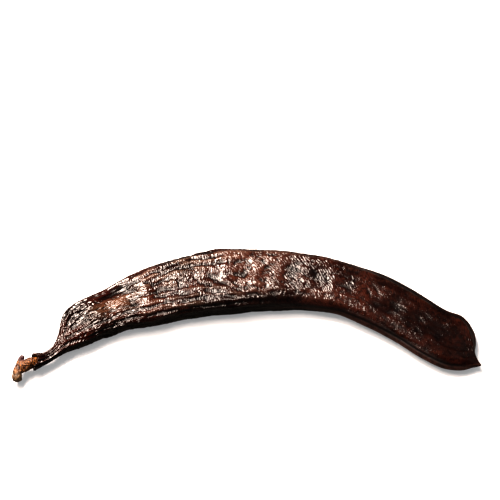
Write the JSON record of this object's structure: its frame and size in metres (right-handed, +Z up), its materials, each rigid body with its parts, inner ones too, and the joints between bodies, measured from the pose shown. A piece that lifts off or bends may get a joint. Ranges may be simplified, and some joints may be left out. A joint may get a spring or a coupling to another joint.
{
  "type": "carob pod",
  "caption": "Dried carob pod, long, flat and curved, with a wrinkled leathery skin, thick rims, a small beak and a broken stalk.",
  "frame": {"origin": "centre of the bounding box in X and Y, on the surface that the pod lies on", "axes": "+X along the pod from the stalk towards the beak, +Y across it towards the outer (convex) seam, +Z up from the surface"},
  "size_m": [0.1804, 0.0592, 0.0106],
  "materials": {
    "pod_skin": "dry wrinkled skin, dark red-brown to near black, with a soft gloss on the folds",
    "stalk_wood": "rough dry fibrous wood, orange-brown"
  },
  "bodies": {
    "root": {"pod": "pod_skin", "stalk": "stalk_wood"}
  },
  "joints": []
}
